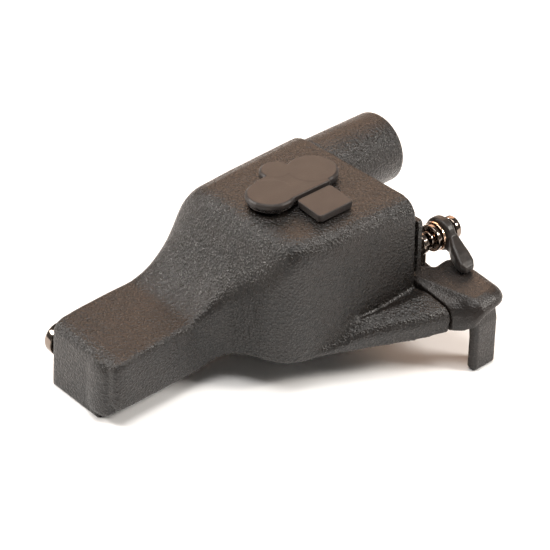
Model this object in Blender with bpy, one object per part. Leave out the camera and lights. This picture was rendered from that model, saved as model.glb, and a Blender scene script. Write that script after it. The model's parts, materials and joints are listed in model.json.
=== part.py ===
"""Side-connector audio adapter for a portable two-way radio.

Stations are in millimetres in the moulding's own axes: X runs from the nose to the
socket, Y to the far side, Z up, with Z = 0 on the plane that the toe, the contact
block and the tip of the clamp foot share. The root empty carries those stations to
the part's frame, whose origin is the centre of the contact block's lower face.
"""
import math

import bmesh
import bpy
from mathutils import Matrix, Vector

MM = 0.001
GAP = 0.3                      # running gap between neighbouring pieces

# Driving stations of the moulding
BASE_Z = 3.3                   # lower edge of the nose
WALL = 1.6
NOSE_FRONT = -0.9
REAR_X = 47.3
FAR_ROUND = 6.0
BARREL_Y, BARREL_Z, BARREL_R = 4.6, 19.9, 6.0
BARREL_START, BARREL_END = 48.4, 63.0

# The contact block, whose lower face seats on the radio
CONTACT_X = (31.0, 45.0)
CONTACT_Y = (-9.0, 4.4)
ORIGIN = ((CONTACT_X[0] + CONTACT_X[1]) / 2, (CONTACT_Y[0] + CONTACT_Y[1]) / 2, 0.0)

# The latch axis and the cap's hinge line
LATCH_Y, LATCH_Z = -16.9, 16.4
HINGE_Y, HINGE_Z = -8.25, 28.5
NOSE_SCREW_X, NOSE_SCREW_Z = 2.5, 5.8

# Jacks under the dust cap: centre X, Y and bore radius
JACKS = {"ear_jack_large": (30.6, -4.6, 1.85), "ear_jack_small": (39.9, -4.2, 1.3)}
JACK_HOLE_R = 2.9

SPIGOT_R, BORE_R = 4.9, 4.2
INSERT_X = (50.0, 54.0)        # pin carrier inside the barrel
PIN_END = 57.6

# Covers, board and their screws
NOSE_PLATE_START = 5.0
BASE_PLATE_START = 21.0
PLATE_Z = (5.9, 7.1)
BOARD_Z = (9.4, 10.4)
BOSS_LOW = 7.4
BOARD_SCREWS = [(27.4, -6.0), (43.0, -6.0)]
JACK_LOW, JACK_TOP = 13.0, 25.3
PLATE_SCREW_Y = -12.0
PLATE_SCREW_Z = (15.6, 21.4)

# Dust cap lobes (x, y, radius) and the tab beside it
CAP_LOBES = [(30.8, -4.7, 3.9), (40.1, -3.7, 4.15), (35.8, -0.3, 2.65)]
CAP_EDGE_Y = -8.1
CAP_Z = (26.95, 28.5)
HINGE_X = 36.0
ANCHOR_X = (32.7, 39.5)
ANCHOR_Y = (-14.2, -8.5)
ANCHOR_TAPER = 0.5             # shift of the tab's near edge towards the nose
ANCHOR_Z = (26.95, 28.1)
ANCHOR_XY = (36.0, -11.2)

# Clamp foot and latch
FOOT_TOP = 13.0
FOOT_START = REAR_X + GAP
FOOT_NEAR = -31.5
FOOT_SEAM_Y = -27.9            # near edge where the foot meets the wing
FOOT_LOW = (7.0, 10.7)         # lower face at the seam and over the leg
FOOT_SEAM_TOP = 11.7
LEG_X, LEG_Y = (49.7, 54.2), (-31.2, -29.3)
TONGUE_START = 43.6
TONGUE_Y, TONGUE_Z = (-23.0, -20.4), (8.0, 9.0)
POST_X = 51.0
SHAFT_R = 0.75
SHAFT_X = (40.5, 58.9)

# Heights and edges of the moulding along X
TOP_LINE = [(-0.9, 11.2), (2.0, 11.6), (14.0, 12.2), (16.5, 13.3), (19.0, 15.3), (21.0, 17.7),
            (22.8, 20.7), (24.2, 23.6), (25.3, 25.3), (26.8, 26.1), (29.0, 26.45), (47.3, 26.9)]
NEAR_LINE = [(-0.9, -5.9), (14.5, -5.7), (17.2, -6.2), (19.6, -7.7), (21.4, -10.6), (22.9, -14.0),
             (24.8, -16.2), (27.5, -17.4), (35.0, -18.9), (47.3, -19.9)]
FAR_LINE = [(-0.9, 10.3), (14.0, 10.5), (25.0, 10.4), (47.3, 10.8)]
FAR_RADIUS = [(-0.9, 0.8), (12.0, 1.0), (19.0, 3.4), (25.4, FAR_ROUND), (47.3, FAR_ROUND)]
NEAR_RADIUS = [(-0.9, 0.8), (14.0, 0.9), (21.0, 2.4), (25.0, 3.0), (47.3, 3.0)]
NEAR_DRAFT = 0.02
BASE_LINE = [(-0.9, BASE_Z), (15.0, BASE_Z), (17.2, 4.2), (19.6, 5.2), (22.0, 5.6), (47.3, 5.6)]
# The flared wing on the near side
WING_EDGE = [(25.5, -16.4), (29.0, -18.0), (34.6, -21.0), (39.0, -23.6), (43.2, -26.1), (47.3, -27.9)]
WING_BOTTOM = [(25.5, 5.5), (34.6, 5.9), (39.0, 6.2), (43.2, 6.6), (47.3, 7.0)]
WING_TOP = [(25.5, 6.6), (31.0, 7.4), (34.6, 9.3), (39.0, 10.4), (43.2, 10.9), (47.3, 11.4)]
WING_VALLEY = [(25.5, 14.0), (30.0, 12.4), (33.0, 10.0), (37.6, 9.8), (43.0, 10.6), (47.3, 11.4)]
WING_PUFF = [(25.5, 0.0), (31.5, 0.0), (35.5, 0.75), (47.3, 0.55)]

COLOURS = {
    "shell_black": ((0.030, 0.027, 0.025), 0.55, 0.0),
    "foot_black": ((0.022, 0.020, 0.019), 0.42, 0.0),
    "cap_rubber": ((0.050, 0.045, 0.041), 0.75, 0.0),
    "lever_rubber": ((0.045, 0.040, 0.036), 0.62, 0.0),
    "dark_chrome": ((0.160, 0.140, 0.125), 0.22, 1.0),
    "bright_ring": ((0.720, 0.460, 0.310), 0.25, 1.0),
    "gold_contact": ((0.800, 0.580, 0.250), 0.28, 1.0),
    "steel_screw": ((0.450, 0.440, 0.430), 0.35, 1.0),
    "board_green": ((0.030, 0.110, 0.055), 0.50, 0.0),
    "insert_grey": ((0.060, 0.058, 0.055), 0.50, 0.0),
}


def clean_scene():
    for item in list(bpy.data.objects):
        bpy.data.objects.remove(item, do_unlink=True)


def material(name):
    found = bpy.data.materials.get(name)
    if found:
        return found
    colour, roughness, metallic = COLOURS[name]
    made = bpy.data.materials.new(name)
    made.use_nodes = True
    shader = made.node_tree.nodes["Principled BSDF"]
    shader.inputs["Base Color"].default_value = (*colour, 1.0)
    shader.inputs["Roughness"].default_value = roughness
    shader.inputs["Metallic"].default_value = metallic
    made.diffuse_color = (*colour, 1.0)
    return made


def smooth_line(points):
    """Monotone curve through (x, value) points, as a function of x."""
    xs = [p[0] for p in points]
    ys = [p[1] for p in points]
    slopes = [(ys[i + 1] - ys[i]) / (xs[i + 1] - xs[i]) for i in range(len(xs) - 1)]
    tangents = [slopes[0]]
    for left, right in zip(slopes, slopes[1:]):
        tangents.append(0.0 if left * right <= 0 else 2 * left * right / (left + right))
    tangents.append(slopes[-1])

    def value(x):
        x = min(max(x, xs[0]), xs[-1])
        i = 0
        while i < len(xs) - 2 and x > xs[i + 1]:
            i += 1
        span = xs[i + 1] - xs[i]
        t = (x - xs[i]) / span
        a = (1 + 2 * t) * (1 - t) ** 2 * ys[i] + t * (1 - t) ** 2 * span * tangents[i]
        b = t * t * (3 - 2 * t) * ys[i + 1] + t * t * (t - 1) * span * tangents[i + 1]
        return a + b

    return value


top_at = smooth_line(TOP_LINE)
near_at = smooth_line(NEAR_LINE)
far_at = smooth_line(FAR_LINE)
far_radius_at = smooth_line(FAR_RADIUS)
near_radius_at = smooth_line(NEAR_RADIUS)
base_at = smooth_line(BASE_LINE)
wing_edge_at = smooth_line(WING_EDGE)
wing_bottom_at = smooth_line(WING_BOTTOM)
wing_top_at = smooth_line(WING_TOP)
wing_valley_at = smooth_line(WING_VALLEY)
wing_puff_at = smooth_line(WING_PUFF)


def corner(y, z, radius, start, end, steps):
    """Arc points about (y, z), angles in degrees from +Y towards +Z."""
    points = []
    for k in range(steps + 1):
        angle = math.radians(start + (end - start) * k / steps)
        points.append((y + radius * math.cos(angle), z + radius * math.sin(angle)))
    return points


def body_section(x, inset=0.0, base=None, near_steps=4, far_steps=6):
    """Closed YZ outline of the moulding at one station, shrunk by inset."""
    base = base_at(x) if base is None else base
    top = top_at(x) - inset
    near = near_at(x) + inset
    far = far_at(x) - inset
    near_r = max(near_radius_at(x) - inset, 0.4)
    far_r = max(far_radius_at(x) - inset, 0.4)
    lean = NEAR_DRAFT * (top - base)
    near_arc = corner(near + lean + near_r, top - near_r, near_r, 180, 90, near_steps)
    far_arc = corner(far - far_r, top - far_r, far_r, 90, 0, far_steps)
    return [(near, base)] + near_arc + far_arc + [(far, base)]


def wing_section(x):
    """Outline of the flared wing: valley at the wall, puffed ridge, slightly undercut edge."""
    edge, low, high, valley = wing_edge_at(x), wing_bottom_at(x), wing_top_at(x), wing_valley_at(x)
    radius = min(2.1, (high - low) * 0.45)
    inner = -14.0
    wall = near_at(x) + 0.4
    swell = ((wall + edge + radius) / 2, (valley + high) / 2 + wing_puff_at(x))
    outer = corner(edge + radius, high - radius, radius, 90, 205, 6)
    return [(inner, low), (inner, valley), (wall, valley), swell] + outer + [(edge + 0.35, low)]


def shrunk(section, amount):
    """Draw an outline in towards its middle by a distance."""
    middle_y = (min(p[0] for p in section) + max(p[0] for p in section)) / 2
    middle_z = (min(p[1] for p in section) + max(p[1] for p in section)) / 2
    scale_y = 1 - amount / (max(p[0] for p in section) - middle_y)
    scale_z = 1 - amount / (max(p[1] for p in section) - middle_z)
    return [(middle_y + (y - middle_y) * scale_y, middle_z + (z - middle_z) * scale_z) for y, z in section]


def close_mesh(bm):
    bmesh.ops.recalc_face_normals(bm, faces=bm.faces)


def loft(rings, closed=False):
    """Skin a list of rings of (x, y, z) millimetre points with the same count."""
    bm = bmesh.new()
    loops = [[bm.verts.new([c * MM for c in point]) for point in ring] for ring in rings]
    count = len(rings[0])
    pairs = list(zip(loops, loops[1:]))
    if closed:
        pairs.append((loops[-1], loops[0]))
    for first, second in pairs:
        for i in range(count):
            j = (i + 1) % count
            bm.faces.new((first[i], first[j], second[j], second[i]))
    if not closed:
        bm.faces.new(loops[0])
        bm.faces.new(loops[-1])
    close_mesh(bm)
    return bm


def outline_prism(points, low, high, axis="Z"):
    """Extrude a closed outline of 2-D points between two levels of an axis."""
    place = {
        "X": lambda a, b, c: (c, a, b),
        "Y": lambda a, b, c: (a, c, b),
        "Z": lambda a, b, c: (a, b, c),
    }
    rings = [[place[axis](a, b, level) for a, b in points] for level in (low, high)]
    return loft(rings)


def box(x, y, z):
    return outline_prism([(x[0], y[0]), (x[1], y[0]), (x[1], y[1]), (x[0], y[1])], z[0], z[1])


AXES = {"X": Vector((1, 0, 0)), "Y": Vector((0, 1, 0)), "Z": Vector((0, 0, 1))}


def turned(profile, axis, centre, sides=24):
    """Solid of revolution. profile is (radius, distance along axis) from end to end.

    A profile whose first and last radii are zero makes a solid; otherwise it is
    closed back on itself and makes a ring.
    """
    solid = profile[0][0] == 0.0
    turn = AXES["Z"].rotation_difference(AXES[axis]).to_matrix() if axis != "Z" else Matrix.Identity(3)
    bm = bmesh.new()
    loops = []
    for radius, along in profile:
        if radius == 0.0:
            loops.append([bm.verts.new((0, 0, along))])
            continue
        ring = []
        for k in range(sides):
            angle = 2 * math.pi * k / sides
            ring.append(bm.verts.new((radius * math.cos(angle), radius * math.sin(angle), along)))
        loops.append(ring)
    pairs = list(zip(loops, loops[1:]))
    if not solid:
        pairs.append((loops[-1], loops[0]))
    for first, second in pairs:
        for k in range(sides):
            n = (k + 1) % sides
            if len(first) == 1:
                bm.faces.new((first[0], second[k], second[n]))
            elif len(second) == 1:
                bm.faces.new((first[k], first[n], second[0]))
            else:
                bm.faces.new((first[k], first[n], second[n], second[k]))
    for vert in bm.verts:
        vert.co = (turn @ vert.co + Vector(centre)) * MM
    close_mesh(bm)
    return bm


def rod(radius, low, high, axis, centre, sides=24, chamfer=0.0):
    if chamfer:
        edge = [(radius - chamfer, low), (radius, low + chamfer)]
        edge += [(radius, high - chamfer), (radius - chamfer, high)]
    else:
        edge = [(radius, low), (radius, high)]
    return turned([(0.0, low)] + edge + [(0.0, high)], axis, centre, sides)


def tube(outer, inner, low, high, axis, centre, sides=24):
    return turned([(inner, low), (outer, low), (outer, high), (inner, high)], axis, centre, sides)


def rounded_outline(points, radius, steps=4):
    """Round every corner of a convex outline with the same radius."""
    result = []
    count = len(points)
    for i in range(count):
        here = Vector(points[i])
        before = (Vector(points[i - 1]) - here).normalized()
        after = (Vector(points[(i + 1) % count]) - here).normalized()
        half = before.angle(after) / 2
        reach = radius / math.tan(half)
        centre = here + (before + after).normalized() * radius / math.sin(half)
        start = here + before * reach - centre
        end = here + after * reach - centre
        for k in range(steps + 1):
            mix = start.lerp(end, k / steps).normalized() * radius
            result.append(tuple(centre + mix))
    return result


def new_object(name, bm, slot, root, pivot=(0.0, 0.0, 0.0), sharp=35):
    """Make a named piece whose origin is at pivot, in millimetre stations."""
    shift = Vector(pivot) * MM
    for vert in bm.verts:
        vert.co -= shift
    mesh = bpy.data.meshes.new(name)
    bm.to_mesh(mesh)
    bm.free()
    mesh.materials.append(material(slot))
    mesh.shade_smooth()
    mesh.set_sharp_from_angle(angle=math.radians(sharp))
    piece = bpy.data.objects.new(name, mesh)
    bpy.context.scene.collection.objects.link(piece)
    piece.parent = root
    piece.location = shift
    return piece


def combine(target, bm, operation, label):
    """Add a Boolean with a hidden guide object made from bm."""
    guide = new_object(target.name + "_guide_" + label, bm, "shell_black", target.parent)
    guide.hide_render = True
    guide.display_type = "WIRE"
    modifier = target.modifiers.new(label, "BOOLEAN")
    modifier.operation = operation
    modifier.solver = "EXACT"
    modifier.object = guide
    return modifier


def stations(low, high, count):
    return [low + (high - low) * k / (count - 1) for k in range(count)]


BODY_STATIONS = [NOSE_FRONT, -0.6, -0.1, 0.9, 5.0, 10.0] + stations(14.0, 27.5, 17) + [33.0, 40.0, REAR_X]
CAVITY_STATIONS = [0.45, 6.0, 12.0] + stations(14.5, 28.0, 12) + [36.0, REAR_X - WALL]
FRONT_LEAN = 0.08              # the nose's front leans back by this much for each unit of height
KEY_Y, KEY_HALF, KEY_DEPTH = -1.4, 2.6, 0.95


def front_round(x):
    """How far the front edge draws in at a station close to the nose's front."""
    reach = 0.9 - NOSE_FRONT
    t = max(0.0, (0.9 - x) / reach)
    return 0.9 * (1 - math.sqrt(max(0.0, 1 - t * t)))


def housing_outer():
    rings = []
    for x in BODY_STATIONS:
        section = shrunk(body_section(x), front_round(x)) if x < 0.9 else body_section(x)
        lean = FRONT_LEAN if x < 2 else 0.0
        rings.append([(x + lean * (z - BASE_Z), y, z) for y, z in section])
    return loft(rings)


def housing_cavity():
    return loft([[(x, y, z) for y, z in body_section(x, WALL, 1.0, 3, 4)] for x in CAVITY_STATIONS])


def housing_wing():
    return loft([[(x, y, z) for y, z in wing_section(x)] for x in stations(25.5, REAR_X, 14)])


def leaning_prism(points, low, high, levels=2):
    """Prism whose outline shifts back with height, like the nose's front wall."""
    rings = []
    for z in stations(low, high, levels):
        rings.append([(x + FRONT_LEAN * (z - BASE_Z), y, z) for x, y in points])
    return loft(rings)


def toe():
    """Front wall of the nose below its lower edge, on the far side."""
    outline = rounded_outline([(-0.95, -1.6), (2.2, -1.6), (2.2, 10.2), (-0.95, 10.2)], 0.7, 3)
    return leaning_prism(outline, 0.0, 10.0)


def front_key():
    """Broad half-round rib down the front of the nose, with an arched top."""
    rings = []
    for z, fullness in ((1.4, 0.75), (1.9, 1.0), (9.2, 1.0), (10.2, 0.82), (10.8, 0.5)):
        arc = [(NOSE_FRONT + 0.15 - KEY_DEPTH * fullness * math.sin(math.pi * k / 10),
                KEY_Y + KEY_HALF * fullness * math.cos(math.pi * k / 10)) for k in range(11)]
        outline = [(0.8, arc[0][1])] + arc + [(0.8, arc[-1][1])]
        rings.append([(x + FRONT_LEAN * (z - BASE_Z), y, z) for x, y in outline])
    return loft(rings)


def screw_boss_centres():
    return [(27.9, 6.0), (27.9, -13.4), (42.4, 6.4), (42.4, -13.2)]


def build_housing(root):
    housing = new_object("housing", housing_outer(), "shell_black", root, sharp=30)
    combine(housing, housing_wing(), "UNION", "wing")
    combine(housing, toe(), "UNION", "toe")
    combine(housing, front_key(), "UNION", "key")
    combine(housing, housing_cavity(), "DIFFERENCE", "cavity")
    for index, (x, y) in enumerate(screw_boss_centres()):
        high = top_at(x) - (2.6 if y > 0 else 1.0)
        combine(housing, tube(1.7, 0.75, BOSS_LOW, high, "Z", (x, y, 0), 16), "UNION", "boss_%d" % index)
    for name, (x, y, _) in JACKS.items():
        combine(housing, rod(JACK_HOLE_R, 22.0, 30.0, "Z", (x, y, 0)), "DIFFERENCE", name)
    anchor = (*ANCHOR_XY, 0)
    combine(housing, rod(1.3, 22.0, 30.0, "Z", anchor, 16), "DIFFERENCE", "anchor_hole")
    barrel_hole = rod(SPIGOT_R + GAP, 42.0, 50.0, "X", (0, BARREL_Y, BARREL_Z), 32)
    combine(housing, barrel_hole, "DIFFERENCE", "barrel_hole")
    shaft_hole = rod(1.1, 44.0, 50.0, "X", (0, LATCH_Y, LATCH_Z), 16)
    combine(housing, shaft_hole, "DIFFERENCE", "shaft_hole")
    nut_pocket = rod(1.75, 39.5, 45.6, "X", (0, LATCH_Y, LATCH_Z), 20)
    combine(housing, nut_pocket, "DIFFERENCE", "nut_pocket")
    for index, z in enumerate(PLATE_SCREW_Z):
        hole = rod(0.8, 43.0, 50.0, "X", (0, PLATE_SCREW_Y, z), 12)
        combine(housing, hole, "DIFFERENCE", "plate_hole_%d" % index)
    screw_hole = rod(1.35, 6.5, 14.0, "Y", (NOSE_SCREW_X, 0, NOSE_SCREW_Z), 16)
    combine(housing, screw_hole, "DIFFERENCE", "nose_screw_hole")
    slot_y = (TONGUE_Y[0] - GAP, TONGUE_Y[1] + GAP)
    slot_z = (TONGUE_Z[0] - GAP, TONGUE_Z[1] + GAP)
    slot = box((TONGUE_START - 0.6, REAR_X + 2.0), slot_y, slot_z)
    combine(housing, slot, "DIFFERENCE", "tongue_slot")
    return housing


def plan_outline(low, high, inset, count=8):
    """Plan outline of the cavity between two stations, at its lower edge."""
    xs = stations(low, high, count)
    near = [(x, near_at(x) + inset) for x in xs]
    far = [(x, far_at(x) - inset) for x in reversed(xs)]
    return near + far


def build_base(root):
    """Covers of the two open undersides, and the block that carries the contacts."""
    inset = WALL + GAP
    plan = plan_outline(BASE_PLATE_START, REAR_X - inset, inset)
    plate = new_object("base_plate", outline_prism(plan, *PLATE_Z), "shell_black", root)
    for index, (x, y) in enumerate(screw_boss_centres()):
        combine(plate, rod(1.0, 4.0, 9.0, "Z", (x, y, 0), 16), "DIFFERENCE", "hole_%d" % index)
    for index, (x, y) in enumerate(BOARD_SCREWS):
        post = tube(1.5, 0.75, PLATE_Z[1] - 0.4, BOARD_Z[0] - GAP, "Z", (x, y, 0), 16)
        combine(plate, post, "UNION", "post_%d" % index)
    nose_outline = plan_outline(NOSE_PLATE_START, 14.0, inset, 3)
    new_object("nose_plate", outline_prism(nose_outline, BASE_Z + 0.3, BASE_Z + 1.5), "shell_black", root)
    corners = [(CONTACT_X[i], CONTACT_Y[j]) for i, j in ((0, 0), (1, 0), (1, 1), (0, 1))]
    block_solid = outline_prism(rounded_outline(corners, 1.2, 4), 0.0, PLATE_Z[0] - GAP)
    block = new_object("contact_block", block_solid, "foot_black", root)
    for index, (x, y) in enumerate(contact_centres()):
        combine(block, rod(0.9, -1.0, 8.0, "Z", (x, y, 0), 12), "DIFFERENCE", "well_%d" % index)
    for index, (x, y) in enumerate(contact_centres()):
        profile = [(0.0, 0.3), (0.25, 0.3), (0.55, 0.6), (0.55, 4.4), (0.0, 4.4)]
        pin = turned(profile, "Z", (x, y, 0), 12)
        new_object("contact_pin_%d" % (index + 1), pin, "gold_contact", root)


def contact_centres():
    """Two rows of four, either side of the block's middle."""
    return [(ORIGIN[0] + (k - 1.5) * 3.0, ORIGIN[1] + side * 4.2) for side in (-1, 1) for k in range(4)]


def cap_screw(name, root, centre, axis, head, shank, sign=1.0):
    """Round-head screw: head and shank are (radius, length); sign points the shank."""
    head_r, head_l = head
    shank_r, shank_l = shank
    profile = [(0.0, -head_l * sign), (head_r * 0.6, -head_l * sign), (head_r, -head_l * 0.5 * sign),
               (head_r, 0.0), (shank_r, 0.0), (shank_r, shank_l * sign), (0.0, shank_l * sign)]
    return new_object(name, turned(profile, axis, centre, 16), "steel_screw", root, centre)


def build_inside(root):
    board = new_object("circuit_board", box((25.6, 45.0), (-11.5, 3.4), BOARD_Z), "board_green", root)
    for index, (x, y) in enumerate(BOARD_SCREWS):
        combine(board, rod(0.8, 0.0, 20.0, "Z", (x, y, 0), 12), "DIFFERENCE", "hole_%d" % index)
        cap_screw("board_screw_%d" % (index + 1), root, (x, y, BOARD_Z[1] + 0.1), "Z",
                  (1.2, 0.9), (0.5, 3.0), -1.0)
    for index, (x, y) in enumerate(screw_boss_centres()):
        cap_screw("base_screw_%d" % (index + 1), root, (x, y, PLATE_Z[0] - 0.3), "Z", (1.5, 0.9), (0.5, 6.0))
    for name, (x, y, bore) in JACKS.items():
        profile = [(bore, JACK_LOW + 2.0), (JACK_HOLE_R - GAP, JACK_LOW + 2.0), (JACK_HOLE_R - GAP, JACK_TOP),
                   (bore + 0.35, JACK_TOP), (bore, JACK_TOP - 0.35)]
        new_object(name, turned(profile, "Z", (x, y, 0), 20), "insert_grey", root)
        base = rod(JACK_HOLE_R - GAP, JACK_LOW, JACK_LOW + 1.7, "Z", (x, y, 0), 20)
        new_object(name + "_base", base, "gold_contact", root)


def build_barrel(root):
    centre = (0, BARREL_Y, BARREL_Z)
    rim = 1.0
    profile = [(SPIGOT_R, REAR_X - 2.2), (SPIGOT_R, BARREL_START), (BARREL_R, BARREL_START)]
    profile += [(BARREL_R - rim + a, BARREL_END - rim + b) for a, b in corner(0, 0, rim, 0, 90, 4)]
    profile += [(BORE_R + 0.2, BARREL_END), (BORE_R, BARREL_END - 0.3), (BORE_R, REAR_X - 2.2)]
    new_object("barrel", turned(profile, "X", centre, 40), "shell_black", root, centre)
    seal = tube(BARREL_R - 0.25, SPIGOT_R + GAP, REAR_X + 0.25, BARREL_START - 0.25, "X", centre, 40)
    new_object("barrel_seal", seal, "cap_rubber", root, centre)
    insert = new_object("socket_insert", rod(BORE_R - GAP, INSERT_X[0], INSERT_X[1], "X", centre, 32),
                        "insert_grey", root, centre)
    for index in range(6):
        angle = math.tau * index / 6
        place = (0, BARREL_Y + 2.6 * math.cos(angle), BARREL_Z + 2.6 * math.sin(angle))
        hole = rod(0.75, INSERT_X[0] - 1, INSERT_X[1] + 1, "X", place, 10)
        combine(insert, hole, "DIFFERENCE", "hole_%d" % index)
        pin = turned([(0.0, INSERT_X[0]), (0.4, INSERT_X[0]), (0.4, PIN_END - 0.3), (0.15, PIN_END),
                      (0.0, PIN_END)], "X", place, 10)
        new_object("socket_pin_%d" % (index + 1), pin, "gold_contact", root, place)


def lobe_union(lobes, low, high, label, root):
    """Union of round pillars: lobes are (x, y, radius)."""
    first = rod(lobes[0][2], low, high, "Z", (lobes[0][0], lobes[0][1], 0), 28, 0.35)
    piece = new_object(label, first, "cap_rubber", root, (HINGE_X, HINGE_Y, HINGE_Z))
    for index, (x, y, radius) in enumerate(lobes[1:]):
        combine(piece, rod(radius, low, high, "Z", (x, y, 0), 28, 0.35), "UNION", "lobe_%d" % index)
    return piece


def build_cap(root):
    """Dust cap over the two jacks, with the anchor tab that it hinges on."""
    cap = lobe_union(CAP_LOBES, CAP_Z[0], CAP_Z[1], "dust_cap", root)
    fill = box((CAP_LOBES[0][0] + 0.2, CAP_LOBES[1][0] - 0.2), (CAP_EDGE_Y, CAP_LOBES[2][1] - 0.4),
               (CAP_Z[0] + 0.02, CAP_Z[1] - 0.02))
    combine(cap, fill, "UNION", "fill")
    for index, (x, y, bore) in enumerate(JACKS.values()):
        plug = turned([(0.0, CAP_Z[0] - 0.8), (bore * 0.6, CAP_Z[0] - 0.8), (bore * 0.8, CAP_Z[0] + 0.5),
                       (0.0, CAP_Z[0] + 0.5)], "Z", (x, y, 0), 16)
        combine(cap, plug, "UNION", "plug_%d" % index)
    near, far = ANCHOR_Y
    tab = rounded_outline([(ANCHOR_X[0] - ANCHOR_TAPER, near), (ANCHOR_X[1] - ANCHOR_TAPER, near),
                           (ANCHOR_X[1], far), (ANCHOR_X[0], far)], 0.5, 3)
    anchor = new_object("cap_anchor", outline_prism(tab, ANCHOR_Z[0], ANCHOR_Z[1]), "cap_rubber", root)
    stud = rod(1.0, 23.6, ANCHOR_Z[0] + 0.5, "Z", (*ANCHOR_XY, 0), 16)
    combine(anchor, stud, "UNION", "stud")


def ease(t):
    """Smooth step from 0 to 1."""
    t = min(max(t, 0.0), 1.0)
    return t * t * (3 - 2 * t)


def foot_levels(x, y):
    """Lower and upper height of the foot at a place on its plan."""
    rise = ease((x - FOOT_START) / 4.2)
    low = FOOT_LOW[0] + (FOOT_LOW[1] - FOOT_LOW[0]) * rise
    dip = (0.4 * ease((-20.0 - y) / 6.0) - 1.0 * ease((y + 20.5) / 3.0)) * (1 - rise)
    return low, FOOT_SEAM_TOP + (FOOT_TOP - FOOT_SEAM_TOP) * rise - dip


def foot_plan():
    """Widest outline of the foot, from the seam round the near side to the far side."""
    outline = [(FOOT_START, FOOT_SEAM_Y), (48.4, FOOT_SEAM_Y - 1.8)]
    outline += [(49.3, FOOT_NEAR + 0.5), (50.5, FOOT_NEAR)]
    outline += corner(53.5, FOOT_NEAR + 3.0, 3.0, 270, 360, 6)
    outline += [(56.7, -24.0)] + corner(54.9, -20.2, 1.5, 10, 95, 3)
    return outline + [(52.4, -18.9), (50.8, -17.4), (49.4, -15.7), (FOOT_START, -15.6)]


def build_foot(root):
    """Clamp foot: plate, hooked leg and the tongue that slides in the wing."""
    plan = foot_plan()
    seam_end = len(plan) - 1
    middle = Vector((50.5, -23.5))
    rings = []
    for level, shrink in ((0.0, 0.5), (0.12, 0.0), (0.42, 0.0), (0.68, 0.45), (0.88, 1.15), (1.0, 2.3)):
        ring = []
        for index, (x, y) in enumerate(plan):
            inward = (middle - Vector((x, y))).normalized() * shrink * (1.0 if y < -24 else 0.45)
            px = x if index in (0, seam_end) else x + inward.x
            py = y + inward.y
            low, high = foot_levels(px, py)
            ring.append((px, py, low + (high - low) * level))
        rings.append(ring)
    pivot = (FOOT_START, FOOT_NEAR, FOOT_TOP)
    foot = new_object("clamp_foot", loft(rings), "foot_black", root, pivot, sharp=40)
    leg_rings = []
    for z, grow, out in ((0.0, -0.35, -0.35), (0.35, 0.0, 0.0), (6.0, 0.0, 0.0), (8.6, 0.1, 0.2),
                         (10.0, 0.25, 0.6), (11.0, 0.4, 1.2)):
        x0, x1 = LEG_X[0] - grow, LEG_X[1] + min(grow, 0.0)
        y0, y1 = LEG_Y[0] + abs(min(grow, 0.0)) + 0.5 * ease((z - 8.6) / 2.4), LEG_Y[1] + out
        leg_rings.append([(x, y, z) for x, y in
                          rounded_outline([(x0, y0), (x1, y0), (x1, y1), (x0, y1)], 0.45, 3)])
    combine(foot, loft(leg_rings), "UNION", "leg")
    combine(foot, box((TONGUE_START, 49.2), TONGUE_Y, TONGUE_Z), "UNION", "tongue")
    pad = rod(1.35, FOOT_TOP - 1.8, FOOT_TOP - 0.35, "Z", (POST_X, LATCH_Y, 0), 20)
    combine(foot, pad, "UNION", "pad")
    ledge = box((POST_X - 1.2, POST_X + 1.2), (-20.0, LATCH_Y), (FOOT_TOP - 1.7, FOOT_TOP - 0.45))
    combine(foot, ledge, "UNION", "ledge")
    post = new_object("latch_post", rod(1.1, FOOT_TOP - 0.05, LATCH_Z + 0.3, "Z", (POST_X, LATCH_Y, 0), 20),
                      "dark_chrome", root, (POST_X, LATCH_Y, FOOT_TOP))
    combine(post, rod(1.8, POST_X - 0.6, POST_X + 0.6, "X", (0, LATCH_Y, LATCH_Z), 24, 0.2), "UNION", "eye")
    combine(post, rod(SHAFT_R + GAP, 40, 60, "X", (0, LATCH_Y, LATCH_Z), 20), "DIFFERENCE", "bore")
    return foot


def latch_ring(name, root, profile, slot, sides=28):
    """A ring on the latch's shaft; the profile gives radius and station."""
    centre = (0, LATCH_Y, LATCH_Z)
    return new_object(name, turned(profile, "X", centre, sides), slot, root, centre)


def build_latch(root):
    bore = SHAFT_R + GAP
    centre = (0, LATCH_Y, LATCH_Z)
    shaft = turned([(0.0, SHAFT_X[0]), (SHAFT_R, SHAFT_X[0]), (SHAFT_R, SHAFT_X[1]), (0.0, SHAFT_X[1])],
                   "X", centre, 20)
    new_object("latch_shaft", shaft, "dark_chrome", root, centre)
    latch_ring("latch_nut", root, [(bore, 41.0), (1.45, 41.0), (1.45, 42.2), (bore, 42.2)], "steel_screw", 6)
    latch_ring("latch_collar", root, [(bore, 52.4), (1.1, 52.4), (1.45, 52.65), (1.45, 52.9), (bore, 53.1)],
               "dark_chrome", 20)
    latch_ring("latch_cup", root, [(bore, 53.5), (1.3, 53.5), (1.8, 53.1), (2.25, 53.1), (2.25, 53.8),
                                   (bore, 53.8)], "dark_chrome")
    latch_ring("latch_bush", root, [(bore, 54.1), (2.4, 54.1), (2.4, 54.5), (bore, 54.5)], "bright_ring")
    latch_ring("latch_end", root, [(bore, 56.8), (1.7, 56.8), (1.95, 57.1), (1.95, 58.0), (1.6, 58.4),
                                   (bore, 58.4)], "dark_chrome")
    lever = latch_ring("latch_lever", root, [(bore, 54.8), (2.5, 54.8), (2.8, 55.1), (2.8, 56.2), (2.5, 56.5),
                                             (bore, 56.5)], "lever_rubber")
    combine(lever, lever_tongue(), "UNION", "tongue")
    combine(lever, rod(bore, 53.0, 58.0, "X", centre, 28), "DIFFERENCE", "bore")


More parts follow.
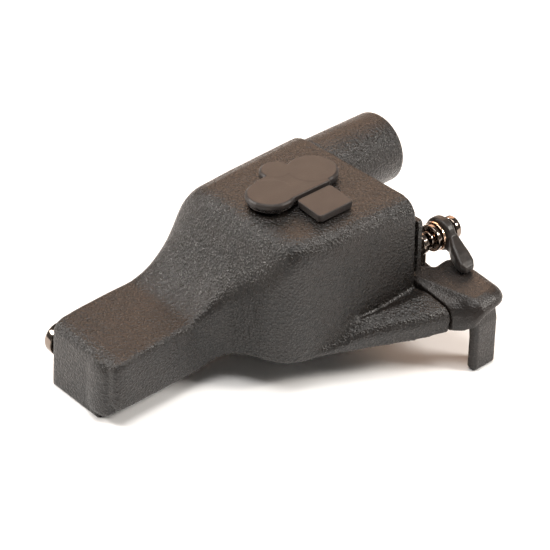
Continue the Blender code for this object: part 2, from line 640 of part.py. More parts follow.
def lever_tongue():
    """Paddle that hangs from the lever's ring towards the foot's near side."""
    rings = []
    for along, centre, width, low, high in ((0.8, 55.7, 0.8, 14.4, 18.2), (2.6, 55.8, 0.95, 14.0, 17.2),
                                            (4.0, 55.2, 1.4, 13.6, 16.6), (5.6, 54.8, 1.55, 13.3, 15.8),
                                            (6.9, 54.5, 1.5, 13.3, 15.0), (7.7, 54.4, 0.9, 13.5, 14.4)):
        outline = rounded_outline([(-width, low), (width, low), (width, high), (-width, high)],
                                  min(width, (high - low) / 2) * 0.6, 3)
        rings.append([(centre + a, LATCH_Y - along, b) for a, b in outline])
    return loft(rings)


def build_rear_plate(root):
    corners = [(-19.75, 13.9), (-9.6, 13.9), (-9.6, 23.2), (-19.75, 23.2)]
    plate = new_object("latch_plate", outline_prism(rounded_outline(corners, 0.6, 3), REAR_X + GAP,
                                                    REAR_X + GAP + 0.8, "X"), "shell_black", root)
    centre = (0, LATCH_Y, LATCH_Z)
    combine(plate, rod(1.1, 40, 60, "X", centre, 16), "DIFFERENCE", "shaft_hole")
    for index, z in enumerate(PLATE_SCREW_Z):
        place = (0, PLATE_SCREW_Y, z)
        combine(plate, rod(0.8, 40, 60, "X", place, 12), "DIFFERENCE", "screw_hole_%d" % index)
        cap_screw("latch_plate_screw_%d" % (index + 1), root, (REAR_X + GAP + 1.1, PLATE_SCREW_Y, z), "X",
                  (1.2, 0.7), (0.5, 4.0), -1.0)


def build_nose_screw(root):
    centre = (NOSE_SCREW_X, 0, NOSE_SCREW_Z)
    head = 11.3
    profile = [(0.0, 5.6), (0.9, 5.6), (0.9, head), (2.7, head), (2.7, head + 1.2), (2.3, head + 1.7),
               (1.1, head + 1.9), (0.0, head + 1.9)]
    new_object("nose_screw", turned(profile, "Y", centre, 28), "dark_chrome", root, centre)
    washer = tube(2.2, 1.25, 10.7, 11.0, "Y", centre, 24)
    new_object("nose_screw_washer", washer, "steel_screw", root, centre)
    nut = turned([(1.2, 6.2), (1.75, 6.2), (1.75, 7.8), (1.2, 7.8)], "Y", centre, 6)
    new_object("nose_screw_nut", nut, "steel_screw", root, centre)


def main():
    clean_scene()
    root = bpy.data.objects.new("radio_frame", None)
    root.location = [-c * MM for c in ORIGIN]
    bpy.context.scene.collection.objects.link(root)
    build_housing(root)
    build_base(root)
    build_inside(root)
    build_barrel(root)
    build_cap(root)
    build_foot(root)
    build_latch(root)
    build_rear_plate(root)
    build_nose_screw(root)


main()
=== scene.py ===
"""Looks of the radio adapter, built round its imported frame."""
import json
import math

import bmesh
import bpy
import numpy as np
from mathutils import Matrix, Vector


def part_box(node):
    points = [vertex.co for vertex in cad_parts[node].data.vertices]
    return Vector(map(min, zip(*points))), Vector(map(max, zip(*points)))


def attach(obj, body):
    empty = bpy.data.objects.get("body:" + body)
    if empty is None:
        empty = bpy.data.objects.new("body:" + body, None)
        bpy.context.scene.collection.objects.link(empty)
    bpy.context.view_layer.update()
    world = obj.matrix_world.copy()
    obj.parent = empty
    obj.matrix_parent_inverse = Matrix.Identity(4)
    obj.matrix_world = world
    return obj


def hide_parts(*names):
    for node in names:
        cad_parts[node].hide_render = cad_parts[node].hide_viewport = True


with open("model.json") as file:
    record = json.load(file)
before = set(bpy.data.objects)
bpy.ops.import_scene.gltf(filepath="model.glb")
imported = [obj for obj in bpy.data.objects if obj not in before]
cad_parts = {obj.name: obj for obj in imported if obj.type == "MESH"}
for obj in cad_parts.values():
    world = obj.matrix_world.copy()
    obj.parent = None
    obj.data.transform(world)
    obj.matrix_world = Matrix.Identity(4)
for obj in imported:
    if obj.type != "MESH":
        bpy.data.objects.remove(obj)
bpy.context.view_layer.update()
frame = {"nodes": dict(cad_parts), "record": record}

MM = 0.001
COARSE = 1.0

# Sockets of a Mix node that works on colours, and its colour output.
MIX_FACTOR, MIX_FIRST, MIX_SECOND, MIX_RESULT = 0, 6, 7, 2


def corners(box):
    """Lowest and highest corner of a box, as vectors."""
    low, high = box
    return Vector(low), Vector(high)


def scaled(colour, factor):
    """A colour made lighter or darker."""
    return tuple(channel * factor for channel in colour)


def tinted(colour, factors):
    """A colour with each channel scaled by its own factor."""
    return tuple(channel * factor for channel, factor in zip(colour, factors))


SHELL_LOW, SHELL_HIGH = corners(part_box("housing"))
FOOT_LOW, FOOT_HIGH = corners(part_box("clamp_foot"))


# --- materials -------------------------------------------------------------------------


class Shade:
    """A Principled material with a few helpers for its nodes."""

    def __init__(self, name, colour, roughness, metallic=0.0):
        self.material = bpy.data.materials.new(name)
        self.material.use_nodes = True
        self.tree = self.material.node_tree
        self.shader = self.tree.nodes["Principled BSDF"]
        self.shader.inputs["Base Color"].default_value = (*colour, 1.0)
        self.shader.inputs["Roughness"].default_value = roughness
        self.shader.inputs["Metallic"].default_value = metallic
        self.material.diffuse_color = (*colour, 1.0)
        self.place = self.add("ShaderNodeTexCoord").outputs["Object"]

    def add(self, kind, **values):
        node = self.tree.nodes.new(kind)
        for key, value in values.items():
            if key in node.inputs:
                node.inputs[key].default_value = value
            else:
                setattr(node, key, value)
        return node

    def link(self, source, target):
        self.tree.links.new(source, target)

    def noise(self, scale, detail=3.0, roughness=0.55):
        node = self.add("ShaderNodeTexNoise", Scale=scale, Detail=detail, Roughness=roughness)
        self.link(self.place, node.inputs["Vector"])
        return node.outputs["Fac"]

    def cells(self, scale, feature="F1", smooth=0.0, vector=None):
        node = self.add("ShaderNodeTexVoronoi", Scale=scale, feature=feature)
        if feature == "SMOOTH_F1":
            node.inputs["Smoothness"].default_value = smooth
        self.link(vector or self.place, node.inputs["Vector"])
        return node.outputs["Distance"]

    def ramp(self, source, low, high, start, end):
        """Map a factor between two stops onto two colours or two grey levels."""
        node = self.add("ShaderNodeValToRGB")
        node.color_ramp.elements[0].position = low
        node.color_ramp.elements[1].position = high
        for element, value in zip(node.color_ramp.elements, (start, end)):
            grey = isinstance(value, float)
            element.color = (value, value, value, 1.0) if grey else (*value, 1.0)
        self.link(source, node.inputs["Fac"])
        return node.outputs["Color"]

    def mix(self, factor, first, second):
        node = self.add("ShaderNodeMix", data_type="RGBA")
        for index, value in ((MIX_FACTOR, factor), (MIX_FIRST, first), (MIX_SECOND, second)):
            socket = node.inputs[index]
            if isinstance(value, bpy.types.NodeSocket):
                self.link(value, socket)
            else:
                socket.default_value = value if isinstance(value, float) else (*value, 1.0)
        return node.outputs[MIX_RESULT]

    def math(self, operation, first, second):
        node = self.add("ShaderNodeMath", operation=operation)
        for socket, value in zip(node.inputs, (first, second)):
            if isinstance(value, bpy.types.NodeSocket):
                self.link(value, socket)
            else:
                socket.default_value = value
        return node.outputs["Value"]

    def bump(self, height, strength, distance):
        node = self.add("ShaderNodeBump", Strength=strength, Distance=distance)
        self.link(height, node.inputs["Height"])
        if self.shader.inputs["Normal"].is_linked:
            self.link(self.shader.inputs["Normal"].links[0].from_socket, node.inputs["Normal"])
        self.link(node.outputs["Normal"], self.shader.inputs["Normal"])


def warped(shade, scale, amount):
    """Object coordinates pushed about by a soft noise, so that cells lose their order."""
    noise = shade.add("ShaderNodeTexNoise", Scale=scale, Detail=2.0)
    shade.link(shade.place, noise.inputs["Vector"])
    centred = shade.add("ShaderNodeVectorMath", operation="SUBTRACT")
    shade.link(noise.outputs["Color"], centred.inputs[0])
    centred.inputs[1].default_value = (0.5, 0.5, 0.5)
    push = shade.add("ShaderNodeVectorMath", operation="SCALE")
    shade.link(centred.outputs["Vector"], push.inputs[0])
    push.inputs["Scale"].default_value = amount
    total = shade.add("ShaderNodeVectorMath", operation="ADD")
    shade.link(shade.place, total.inputs[0])
    shade.link(push.outputs["Vector"], total.inputs[1])
    return total.outputs["Vector"]


GRAIN, GRAIN_DEPTH, GRAIN_CONTRAST = 2500.0, 0.12 * MM, 0.6    # pebbles a metre, height, colour swing
WARP_FINENESS, WARP_REACH = 0.5, 0.6    # against the pebbles' own scale and width
PEBBLE_BLUR = 0.3
FINE_SCALE, BROAD_SCALE = 1.7, 0.3      # of the other two noises, against the pebbles' scale
FINE_SHARE = 0.8
BROAD_STRENGTH, BROAD_DEPTH = 0.6, 1.2
# The grain's contrast paints shade into the valleys and, LIGHT_SWING times as far, a highlight onto the
# pebble tops.
LIGHT_SWING = 2.2
RELIEF_LOW, RELIEF_HIGH = 0.2, 0.42
WORN_SCALE, WORN_LOW, WORN_HIGH, WORN_SHARE = 170.0, 0.42, 0.85, 0.8
WORN_TINT = (1.9, 1.45, 1.2)
VALLEY_ROUGHER, PEBBLE_SMOOTHER = 0.2, 0.08


def leather_plastic(name, colour, roughness, grain=GRAIN, depth=GRAIN_DEPTH, strength=1.0,
                    contrast=GRAIN_CONTRAST):
    """Moulded plastic with a leather grain: smooth pebbles with painted highlights between rough valleys
    with painted shade.
    """
    shade = Shade(name, colour, roughness)
    pushed = warped(shade, grain * WARP_FINENESS, WARP_REACH / grain)
    pebbles = shade.cells(grain, "SMOOTH_F1", PEBBLE_BLUR, pushed)
    fine = shade.noise(grain * FINE_SCALE, 3.0, 0.65)
    broad = shade.noise(grain * BROAD_SCALE, 3.0)
    sunk = shade.math("MULTIPLY", pebbles, -1.0)
    height = shade.math("ADD", sunk, shade.math("MULTIPLY", fine, FINE_SHARE))
    shade.bump(height, strength, depth)
    shade.bump(broad, BROAD_STRENGTH, depth * BROAD_DEPTH)
    wear_and_edge_glint = shade.noise(WORN_SCALE, 4.0)
    raised = shade.math("ADD", fine, shade.math("MULTIPLY", pebbles, -0.5))
    relief = shade.ramp(raised, RELIEF_LOW, RELIEF_HIGH, 0.0, 1.0)
    # Painted highlight on the pebble tops and painted shade in the valleys, set in the base colour.
    dark = scaled(colour, 1.0 - contrast)
    light = scaled(colour, 1.0 + LIGHT_SWING * contrast)
    painted_grain_glint_and_shade = shade.mix(relief, dark, light)
    patches = shade.ramp(wear_and_edge_glint, WORN_LOW, WORN_HIGH, 0.0, WORN_SHARE)
    shade.link(shade.mix(patches, painted_grain_glint_and_shade, tinted(colour, WORN_TINT)), shade.shader.inputs["Base Color"])
    rough = shade.ramp(relief, 0.0, 1.0, roughness + VALLEY_ROUGHER, roughness - PEBBLE_SMOOTHER)
    shade.link(rough, shade.shader.inputs["Roughness"])
    shade.shader.inputs["Specular IOR Level"].default_value = 0.5
    return shade.material


DUST_SCALE, DUST_LOW, DUST_HIGH = 520.0, 0.38, 0.72
DUST_TINT = (1.55, 1.4, 1.3)
# PAINTED_EDGE_GLINT and the EDGE_ stops below set a painted highlight on the rubber's sharp edges.
CLEAN, PAINTED_EDGE_GLINT, SPECK = 0.8, 2.6, 7.0    # brightness against the rubber's own colour
EDGE_LOW, EDGE_HIGH, EDGE_SHARE = 0.515, 0.56, 0.75
SPECK_SCALE, SPECK_LOW, SPECK_HIGH = 1300.0, 0.05, 0.10
SPARSE_SCALE, SPARSE_LOW, SPARSE_HIGH, SPARSE_SHARE = 700.0, 0.6, 0.64, 0.8
TOOTH_SCALE, TOOTH_STRENGTH, TOOTH_DEPTH = 4200.0, 0.4, 0.04 * MM


def rubber(name, colour, roughness):
    """Dull moulded rubber: dusty bloom, a painted highlight on sharp edges, fine tooth and stray light
    specks.
    """
    shade = Shade(name, colour, roughness)
    dust = shade.noise(DUST_SCALE, 5.0, 0.68)
    bloom = shade.ramp(dust, DUST_LOW, DUST_HIGH, 0.0, 1.0)
    tint = shade.mix(bloom, scaled(colour, CLEAN), tinted(colour, DUST_TINT))
    # Painted highlight: sharp edges, found by their pointiness, are made paler as if they caught the
    # light.
    edges = shade.add("ShaderNodeNewGeometry").outputs["Pointiness"]
    wear_and_edge_glint = shade.ramp(edges, EDGE_LOW, EDGE_HIGH, 0.0, EDGE_SHARE)
    tint = shade.mix(wear_and_edge_glint, tint, scaled(colour, PAINTED_EDGE_GLINT))
    specks = shade.ramp(shade.cells(SPECK_SCALE), SPECK_LOW, SPECK_HIGH, 1.0, 0.0)
    sparse = shade.ramp(shade.noise(SPARSE_SCALE, 1.0), SPARSE_LOW, SPARSE_HIGH, 0.0, SPARSE_SHARE)
    tint = shade.mix(shade.math("MULTIPLY", specks, sparse), tint, scaled(colour, SPECK))
    shade.link(tint, shade.shader.inputs["Base Color"])
    rough = shade.ramp(dust, 0.3, 0.8, roughness - 0.08, roughness + 0.1)
    shade.link(rough, shade.shader.inputs["Roughness"])
    shade.bump(shade.noise(TOOTH_SCALE, 3.0), TOOTH_STRENGTH, TOOTH_DEPTH)
    shade.shader.inputs["Specular IOR Level"].default_value = 0.36
    shade.shader.inputs["Sheen Weight"].default_value = 0.1
    shade.shader.inputs["Sheen Roughness"].default_value = 0.5
    return shade.material


MARK_SCALE, MARK_LOW, MARK_HIGH, MARK_LIFT = 900.0, 0.35, 0.75, 1.25
FINISH_SCALE, FINISH_STRENGTH, FINISH_DEPTH = 3500.0, 0.1, 0.01 * MM
SHINIEST = 0.05


def metal(name, colour, roughness, brushed=0.0):
    """Plated metal with light handling marks."""
    shade = Shade(name, colour, roughness, 1.0)
    marks = shade.noise(MARK_SCALE, 4.0, 0.6)
    bright = tuple(min(1.0, channel * MARK_LIFT) for channel in colour)
    tint = shade.mix(shade.ramp(marks, MARK_LOW, MARK_HIGH, 0.0, 1.0), colour, bright)
    shade.link(tint, shade.shader.inputs["Base Color"])
    rough = shade.ramp(marks, 0.3, MARK_HIGH, max(SHINIEST, roughness - 0.06), roughness + 0.08)
    shade.link(rough, shade.shader.inputs["Roughness"])
    shade.bump(shade.noise(FINISH_SCALE, 2.0), FINISH_STRENGTH + brushed, FINISH_DEPTH)
    return shade.material


LACQUER = (0.02, 0.10, 0.045)
WEAVE_DARK, WEAVE_LIGHT = (0.018, 0.09, 0.04), (0.03, 0.13, 0.06)
WEAVE_SCALE, WEAVE_STRENGTH = 2400.0, 0.1


def laminate(name):
    """Circuit laminate with a faint weave under green lacquer."""
    shade = Shade(name, LACQUER, 0.35)
    weave = shade.add("ShaderNodeTexChecker", Scale=WEAVE_SCALE)
    shade.link(shade.place, weave.inputs["Vector"])
    tint = shade.mix(weave.outputs["Fac"], WEAVE_DARK, WEAVE_LIGHT)
    shade.link(tint, shade.shader.inputs["Base Color"])
    shade.bump(weave.outputs["Fac"], WEAVE_STRENGTH, FINISH_DEPTH)
    return shade.material


MATERIALS = {
    "shell_black": leather_plastic("leather_shell", (0.0064, 0.0048, 0.0038), 0.22),
    "foot_black": leather_plastic("foot_plastic", (0.0100, 0.0078, 0.0066), 0.30, grain=3600.0,
                                  depth=0.06 * MM, strength=0.7, contrast=0.35),
    "cap_rubber": rubber("cap_rubber", (0.0128, 0.0088, 0.0070), 0.46),
    "lever_rubber": rubber("lever_rubber", (0.0125, 0.0096, 0.0080), 0.42),
    "dark_chrome": metal("dark_chrome", (0.20, 0.165, 0.14), 0.14),
    "bright_ring": metal("bright_ring", (0.86, 0.58, 0.42), 0.18),
    "gold_contact": metal("gold_contact", (0.86, 0.62, 0.26), 0.22),
    "steel_screw": metal("steel_screw", (0.55, 0.54, 0.52), 0.28, 0.1),
    "board_green": laminate("board_green"),
    "insert_grey": leather_plastic("insert_grey", (0.045, 0.043, 0.041), 0.5, grain=4000.0,
                                   depth=0.02 * MM, strength=0.3),
}


def dress(piece, slot):
    piece.data.materials.clear()
    piece.data.materials.append(MATERIALS[slot])


# --- pieces that stand for a CAD node ---------------------------------------------------


def body_named(node):
    """The CAD body that a node belongs to."""
    for body, nodes in frame["record"]["behaviour"]["bodies"].items():
        if node in nodes:
            return body
    return "root"


def stand_in(name, mesh, node, slot):
    """Put a mesh in a node's place, on the node's own body."""
    piece = bpy.data.objects.new(name, mesh)
    bpy.context.scene.collection.objects.link(piece)
    dress(piece, slot)
    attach(piece, body_named(node))
    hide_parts(node)


WELD = 0.002 * MM


def node_mesh(node):
    """A copy of the node's solid in the frame's own space, with split corners welded."""
    source = frame["nodes"][node]
    mesh = source.data.copy()
    mesh.transform(source.matrix_world)
    bm = bmesh.new()
    bm.from_mesh(mesh)
    bmesh.ops.remove_doubles(bm, verts=bm.verts, dist=WELD)
    bm.to_mesh(mesh)
    bm.free()
    return mesh


RELAX = 0.5          # how far one round moves a vertex towards its neighbours
SOFT_LEVELS = 10


def remoulded(node, voxel, rounds, softer=None, soft_rounds=0):
    """The node's solid with the soft edges of a moulding: remeshed fine, then relaxed.

    softer(x, y, z) gives from 0 to 1 how much more each place is relaxed, soft_rounds times.
    """
    piece = bpy.data.objects.new("work", node_mesh(node))
    bpy.context.scene.collection.objects.link(piece)
    remesh = piece.modifiers.new("remesh", "REMESH")
    remesh.mode = "VOXEL"
    remesh.voxel_size = voxel * COARSE
    mesh = applied(piece)
    piece.data = mesh
    piece.modifiers.clear()
    relax = piece.modifiers.new("relax", "SMOOTH")
    relax.factor = RELAX
    relax.iterations = rounds
    if softer:
        group = piece.vertex_groups.new(name="softer")
        levels = np.rint(SOFT_LEVELS * np.clip(softer(*places(mesh)), 0, 1))
        for level in range(1, SOFT_LEVELS + 1):
            group.add(np.flatnonzero(levels == level).tolist(), level / SOFT_LEVELS, "REPLACE")
        local = piece.modifiers.new("local", "SMOOTH")
        local.vertex_group = group.name
        local.factor = RELAX
        local.iterations = round(soft_rounds / COARSE ** 2)
    result = applied(piece)
    bpy.data.objects.remove(piece)
    result.shade_smooth()
    return result


def applied(piece):
    """A new mesh with the piece's modifiers worked in."""
    evaluated = piece.evaluated_get(bpy.context.evaluated_depsgraph_get())
    return bpy.data.meshes.new_from_object(evaluated)


def places(mesh):
    """The x, y and z of every vertex."""
    flat = np.empty(len(mesh.vertices) * 3)
    mesh.vertices.foreach_get("co", flat)
    return flat.reshape(-1, 3).T


def ease(value, start, end):
    """Smooth step of values between two stops."""
    t = np.clip((value - start) / (end - start), 0, 1)
    return t * t * (3 - 2 * t)


# Stretches over which the shell changes from crisp to soft.
NOSE_STRETCH = (15 * MM, 22 * MM)          # back from the nose's front
TOP_STRETCH = (11 * MM, 6 * MM)            # down from the top
WING_OUT, WING_UP = (16.5 * MM, 19 * MM), (6.4 * MM, 7.6 * MM)
REAR_STRETCH = (1.6 * MM, 0.2 * MM)        # forward from the rear face
WING_SOFT, BODY_SOFT, REAR_CRISP = 0.8, 0.35, 0.85
SHELL_VOXEL = 0.26 * MM


def shell_softness(x, y, z):
    """The block's upper edges, the ramp and the wing are rounder than the nose's crisp edges."""
    along = ease(x, SHELL_LOW.x + NOSE_STRETCH[0], SHELL_LOW.x + NOSE_STRETCH[1])
    upper = ease(z, SHELL_HIGH.z - TOP_STRETCH[0], SHELL_HIGH.z - TOP_STRETCH[1])
    wing = ease(-y, *WING_OUT) * ease(z, *WING_UP)
    rear = 1 - ease(x, SHELL_HIGH.x - REAR_STRETCH[0], SHELL_HIGH.x - REAR_STRETCH[1]) * REAR_CRISP
    return np.maximum(np.maximum(along * upper, wing * WING_SOFT), BODY_SOFT * along) * rear


def make_housing():
    mesh = remoulded("housing", SHELL_VOXEL, 2, shell_softness, 3)
    stand_in("housing_shell", mesh, "housing", "shell_black")


UPRIGHT = 0.6    # a face whose normal rises less than this is a side


def grooved(mesh, level, half, depth):
    """Press a narrow groove into the upright sides of a mesh at one height."""
    _, _, z = places(mesh)
    for index in np.flatnonzero(np.abs(z - level) < half):
        vert = mesh.vertices[index]
        if abs(vert.normal.z) < UPRIGHT:
            fall = 1 - ((vert.co.z - level) / half) ** 2
            vert.co -= Vector((vert.normal.x, vert.normal.y, 0)) * depth * fall


RUBBER_VOXEL = 0.11 * MM
GROOVE_DROP, GROOVE_HALF, GROOVE_DEPTH = 1.12 * MM, 0.22 * MM, 0.4 * MM


def make_cap():
    _, high = corners(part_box("dust_cap"))
    mesh = remoulded("dust_cap", RUBBER_VOXEL, 3)
    grooved(mesh, high.z - GROOVE_DROP, GROOVE_HALF, GROOVE_DEPTH)
    stand_in("dust_cap_skin", mesh, "dust_cap", "cap_rubber")
    mesh = remoulded("cap_anchor", RUBBER_VOXEL, 2)
    stand_in("cap_anchor_skin", mesh, "cap_anchor", "cap_rubber")


PLATE_STRETCH = (5.0 * MM, 2.4 * MM)       # down from the plate's top
SEAM_STRETCH = (4.1 * MM, 5.2 * MM)        # back from the tongue's tip
FOOT_VOXEL = 0.16 * MM


def foot_softness(x, y, z):
    """The plate is puffed like the wing; the seam's edge, the leg and the tongue stay crisp."""
    plate = ease(z, FOOT_HIGH.z - PLATE_STRETCH[0], FOOT_HIGH.z - PLATE_STRETCH[1])
    return plate * ease(x, FOOT_LOW.x + SEAM_STRETCH[0], FOOT_LOW.x + SEAM_STRETCH[1])


def make_foot():
    mesh = remoulded("clamp_foot", FOOT_VOXEL, 4, foot_softness, 10)
    stand_in("clamp_foot_skin", mesh, "clamp_foot", "foot_black")


def arc(along, radius, size, start, end, steps=5):
    """Quarter-round profile points about (radius, along), angles in degrees from outwards."""
    points = []
    for k in range(steps + 1):
        angle = math.radians(start + (end - start) * k / steps)
        points.append((radius + size * math.cos(angle), along + size * math.sin(angle)))
    return points


def ring_profile(inner, outer, low, high, soft):
    """Closed profile of a ring with rounded outer edges, from its bore outwards and back."""
    near = arc(low + soft, outer - soft, soft, -90, 0)
    far = arc(high - soft, outer - soft, soft, 0, 90)
    return [(inner, low)] + near + far + [(inner, high)]


# Turns that lay the Z axis along another axis.
TURNS = {
    "X": Matrix(((0, 0, 1), (1, 0, 0), (0, 1, 0))),
    "Y": Matrix(((1, 0, 0), (0, 0, 1), (0, -1, 0))),
}
TURNED_CREASE, SOLID_CREASE = math.radians(50), math.radians(32)


def lathe(profile, axis, centre, sides=96):
    """Turned mesh. profile is a closed list of (radius, distance along the axis)."""
    turn = TURNS[axis]
    bm = bmesh.new()
    loops = []
    for radius, along in profile:
        if radius == 0.0:
            loops.append([bm.verts.new(turn @ Vector((0, 0, along)) + centre)] * sides)
            continue
        loop = []
        for k in range(sides):
            angle = math.tau * k / sides
            place = Vector((radius * math.cos(angle), radius * math.sin(angle), along))
            loop.append(bm.verts.new(turn @ place + centre))
        loops.append(loop)
    pairs = list(zip(loops, loops[1:]))
    if profile[0][0] > 0:
        pairs.append((loops[-1], loops[0]))
    for first, second in pairs:
        for k in range(sides):
            n = (k + 1) % sides
            ends = []
            for vert in (first[k], first[n], second[n], second[k]):
                if vert not in ends:
                    ends.append(vert)
            bm.faces.new(ends)
    bmesh.ops.recalc_face_normals(bm, faces=bm.faces)
    mesh = bpy.data.meshes.new("turned")
    bm.to_mesh(mesh)
    bm.free()
    mesh.shade_smooth()
    mesh.set_sharp_from_angle(angle=TURNED_CREASE)
    return mesh


PIN_ROOM = 0.3 * MM          # between the socket insert and the barrel's bore
SEAL_ROOM = 0.25 * MM
SPIGOT_WALL = 0.7 * MM
REAR_EDGE, RIM_EDGE, BORE_EDGE = 0.35 * MM, 1.0 * MM, 0.25 * MM
BARREL_SIDES = 160


def make_barrel():
    low, high = corners(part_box("barrel"))
    pins = Vector(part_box("socket_insert")[1])
    centre = Vector((0, (low.y + high.y) / 2, (low.z + high.z) / 2))
    outer = (high.y - low.y) / 2
    bore = pins.y - centre.y + PIN_ROOM
    seam = Vector(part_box("barrel_seal")[1]).x + SEAL_ROOM
    spigot = bore + SPIGOT_WALL
    profile = [(bore, low.x), (spigot, low.x), (spigot, seam)]
    profile += arc(seam + REAR_EDGE, outer - REAR_EDGE, REAR_EDGE, -90, 0)
    profile += arc(high.x - RIM_EDGE, outer - RIM_EDGE, RIM_EDGE, 0, 90, 8)
    profile += arc(high.x - BORE_EDGE, bore + BORE_EDGE, BORE_EDGE, 90, 180, 4)
    stand_in("barrel_shell", lathe(profile, "X", centre, BARREL_SIDES), "barrel", "shell_black")


LATCH_BORE = 1.05 * MM
LATCH_RINGS = (    # node, slot, rounding of the outer edges
    ("latch_cup", "dark_chrome", 0.12 * MM),
    ("latch_bush", "bright_ring", 0.1 * MM),
    ("latch_collar", "dark_chrome", 0.15 * MM),
    ("latch_end", "dark_chrome", 0.25 * MM),
)
DISH_LIP, DISH_WALL, DISH_HUB = 0.55 * MM, 0.8 * MM, 0.35 * MM
DISH_LIP_DEPTH, DISH_WALL_DEPTH, DISH_DEPTH = 0.02 * MM, 0.3 * MM, 0.42 * MM
NECK_LENGTH, NECK_STEP, NECK_EASE = 0.45 * MM, 0.35 * MM, 0.1 * MM
LEVER_VOXEL, POST_VOXEL = 0.12 * MM, 0.08 * MM


def dished(profile, outer, start):
    """The cup's profile with a shallow dish turned into its face."""
    dish = [(LATCH_BORE, start + DISH_DEPTH), (LATCH_BORE + DISH_HUB, start + DISH_DEPTH),
            (outer - DISH_WALL, start + DISH_WALL_DEPTH), (outer - DISH_LIP, start + DISH_LIP_DEPTH)]
    return dish + profile[1:]


def necked(outer, start, end, soft):
    """The end knob's profile: a narrow neck, then the knob."""
    step = start + NECK_LENGTH
    neck = [(LATCH_BORE, start), (outer - NECK_STEP, start), (outer - NECK_STEP, step - NECK_EASE)]
    return neck + ring_profile(LATCH_BORE, outer, step, end, soft)[1:]


def make_latch():
    for node, slot, soft in LATCH_RINGS:
        low, high = corners(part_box(node))
        centre = Vector((0, (low.y + high.y) / 2, (low.z + high.z) / 2))
        outer = (high.z - low.z) / 2
        profile = ring_profile(LATCH_BORE, outer, low.x, high.x, soft)
        if node == "latch_cup":
            profile = dished(profile, outer, low.x)
        if node == "latch_end":
            profile = necked(outer, low.x, high.x, soft)
        stand_in(node + "_turned", lathe(profile, "X", centre), node, slot)
    mesh = remoulded("latch_lever", LEVER_VOXEL, 5)
    stand_in("latch_lever_skin", mesh, "latch_lever", "lever_rubber")
    mesh = remoulded("latch_post", POST_VOXEL, 4)
    stand_in("latch_post_skin", mesh, "latch_post", "dark_chrome")


HEAD_LENGTH, HEAD_EDGE, HEAD_DOME = 1.9 * MM, 0.15 * MM, 0.75 * MM
SHANK, SHANK_TIP = 0.9 * MM, 0.15 * MM
THREAD_TURNS, THREAD_DEPTH = 6, 0.12 * MM
THREAD_START, THREAD_STOP = 0.3 * MM, 1.2 * MM    # from the tip, and short of the head


def make_nose_screw():
    low, high = corners(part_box("nose_screw"))
    centre = Vector(((low.x + high.x) / 2, 0, (low.z + high.z) / 2))
    outer = (high.x - low.x) / 2
    head = high.y - HEAD_LENGTH
    profile = [(0.0, low.y), (SHANK - SHANK_TIP, low.y), (SHANK, low.y + SHANK_TIP)]
    pitch = (head - THREAD_STOP - low.y - THREAD_START) / THREAD_TURNS
    for k in range(THREAD_TURNS):
        start = low.y + THREAD_START + pitch * k
        profile += [(SHANK, start), (SHANK - THREAD_DEPTH, start + pitch / 2)]
    profile += [(SHANK, head), (outer - HEAD_EDGE, head)]
    profile += arc(head + HEAD_EDGE, outer - HEAD_EDGE, HEAD_EDGE, -90, 0)
    profile += arc(high.y - HEAD_DOME, outer - HEAD_DOME, HEAD_DOME, 0, 90, 8)
    profile += [(0.0, high.y)]
    mesh = lathe(profile, "Y", centre)
    stand_in("nose_screw_turned", mesh, "nose_screw", "dark_chrome")


# --- every other node keeps its solid and gets its material ---------------------------


def dress_nodes():
    for entry in frame["record"]["subparts"]:
        node = frame["nodes"][entry["node"]]
        dress(node, entry["material_slot"])
        node.data.shade_smooth()
        node.data.set_sharp_from_angle(angle=SOLID_CREASE)


# --- studio -----------------------------------------------------------------------------


FLOOR_HALF = 3.0
FLOOR_WHITE = (0.93, 0.93, 0.93)


def make_floor():
    mesh = bpy.data.meshes.new("floor")
    edges = ((-1, -1), (1, -1), (1, 1), (-1, 1))
    mesh.from_pydata([(x * FLOOR_HALF, y * FLOOR_HALF, 0) for x, y in edges], [], [(0, 1, 2, 3)])
    floor = bpy.data.objects.new("floor", mesh)
    bpy.context.scene.collection.objects.link(floor)
    shade = Shade("floor_white", FLOOR_WHITE, 0.6)
    mesh.materials.append(shade.material)


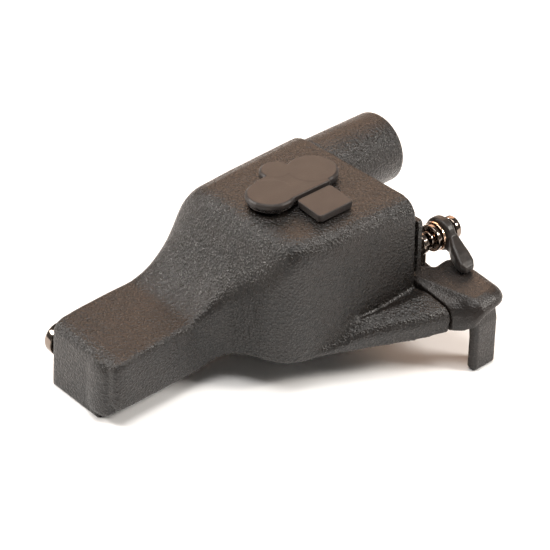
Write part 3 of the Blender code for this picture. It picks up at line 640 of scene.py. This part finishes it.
LIGHT_AIM = Vector((0, 0, 0.01))
SOFT_BOXES = (    # name, place, width and height, watts, colour
    ("top_box", (-0.04, -0.02, 0.55), (0.36, 0.36), 3.2, (1.0, 0.97, 0.94)),
    ("back_box", (0.30, 0.34, 0.30), (0.42, 0.30), 1.35, (1.0, 0.66, 0.46)),
    ("right_box", (0.30, -0.36, 0.36), (0.12, 0.12), 2.8, (1.0, 0.95, 0.89)),
    ("left_box", (-0.30, 0.33, 0.30), (0.12, 0.12), 2.3, (1.0, 0.95, 0.90)),
)
WORLD_COLOUR, WORLD_STRENGTH = (1.0, 0.955, 0.91, 1.0), 0.17


def area_light(name, place, size, power, colour):
    data = bpy.data.lights.new(name, "AREA")
    data.shape = "RECTANGLE"
    data.size, data.size_y = size
    data.energy = power
    data.color = colour
    lamp = bpy.data.objects.new(name, data)
    bpy.context.scene.collection.objects.link(lamp)
    lamp.location = place
    lamp.rotation_euler = (LIGHT_AIM - Vector(place)).to_track_quat("-Z", "Y").to_euler()


def make_world():
    world = bpy.data.worlds.new("studio")
    world.use_nodes = True
    background = world.node_tree.nodes["Background"]
    background.inputs["Color"].default_value = WORLD_COLOUR
    background.inputs["Strength"].default_value = WORLD_STRENGTH
    bpy.context.scene.world = world


def make_lights():
    """The top box lights the floor, the back box warms the upper faces, and two light the edges."""
    for box in SOFT_BOXES:
        area_light(*box)


AZIMUTH, ELEVATION = math.radians(-41.5), math.radians(34.5)
CAMERA_TARGET = Vector((-10.2, -6.8, 17.0)) * MM
CAMERA_DISTANCE = 0.303
CAMERA_LENS = 130.9
SENSOR_WIDTH = 36.0
CLIP_START = 0.01


def make_camera():
    back = Vector((math.sin(AZIMUTH) * math.cos(ELEVATION), -math.cos(AZIMUTH) * math.cos(ELEVATION),
                   math.sin(ELEVATION)))
    data = bpy.data.cameras.new("camera")
    data.lens = CAMERA_LENS
    data.sensor_width = SENSOR_WIDTH
    data.clip_start = CLIP_START
    camera = bpy.data.objects.new("camera", data)
    bpy.context.scene.collection.objects.link(camera)
    camera.location = CAMERA_TARGET + back * CAMERA_DISTANCE
    camera.rotation_euler = (-back).to_track_quat("-Z", "Y").to_euler()
    bpy.context.scene.camera = camera


bpy.context.scene.view_settings.view_transform = "Standard"
make_camera()
make_world()
make_lights()
make_floor()
dress_nodes()
make_housing()
make_cap()
make_foot()
make_barrel()
make_latch()
make_nose_screw()
